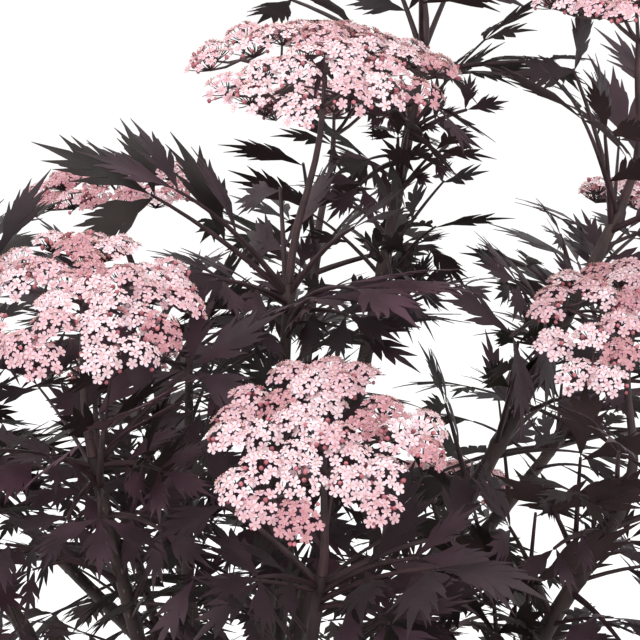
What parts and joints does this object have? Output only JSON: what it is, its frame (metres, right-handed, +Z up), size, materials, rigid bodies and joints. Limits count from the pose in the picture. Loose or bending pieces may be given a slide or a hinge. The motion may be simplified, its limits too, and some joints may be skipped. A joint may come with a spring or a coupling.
{
  "type": "potted black elder shrub",
  "caption": "Young many-stemmed shrub in a plain round nursery pot, with dark finely cut compound leaves and flat-topped pink flower heads.",
  "frame": {"origin": "centre of the pot's flat underside", "axes": "+Z up the plant, -Y towards the side that the picture shows, +X to the right in it"},
  "size_m": [0.7178, 0.6858, 0.8775],
  "materials": {
    "pot_plastic": "matt dark moulded plastic",
    "compost": "damp shredded bark and peat",
    "bark": "dark brown young bark with small raised pores",
    "leaf": "near-black purple leaves, satin above and duller below",
    "blossom": "soft pale pink petals over deeper pink buds"
  },
  "bodies": {
    "root": {"pot": "pot_plastic", "compost": "compost", "trunk": "bark", "bough_centre": "bark", "bough_tall": "bark", "bough_right_tall": "bark", "bough_right": "bark", "bough_front": "bark", "bough_left": "bark", "bough_left_inner": "bark", "bough_far_left": "bark", "bough_back_left": "bark", "bough_back_centre": "bark", "bough_back_right": "bark", "bough_far_right": "bark", "bough_low_right": "bark", "bough_back_far_left": "bark", "bough_back_low": "bark", "bough_low_left": "bark", "bough_back_mid": "bark", "bough_front_low_left": "bark", "bough_front_low_right": "bark", "foliage_centre": "leaf", "foliage_tall": "leaf", "foliage_right_tall": "leaf", "foliage_right": "leaf", "foliage_front": "leaf", "foliage_left": "leaf", "foliage_left_inner": "leaf", "foliage_far_left": "leaf", "foliage_back_left": "leaf", "foliage_back_centre": "leaf", "foliage_back_right": "leaf", "foliage_far_right": "leaf", "foliage_low_right": "leaf", "foliage_back_far_left": "leaf", "foliage_back_low": "leaf", "foliage_low_left": "leaf", "foliage_back_mid": "leaf", "foliage_front_low_left": "leaf", "foliage_front_low_right": "leaf", "head_centre": "blossom", "head_tall": "blossom", "head_right_tall": "blossom", "head_right": "blossom", "head_front": "blossom", "head_left": "blossom", "head_far_left": "blossom", "head_back_left": "blossom", "head_back_centre": "blossom", "head_back_right": "blossom", "head_far_right": "blossom", "head_low_right": "blossom", "head_back_far_left": "blossom", "head_back_low": "blossom", "head_low_left": "blossom", "head_back_mid": "blossom"}
  },
  "joints": []
}
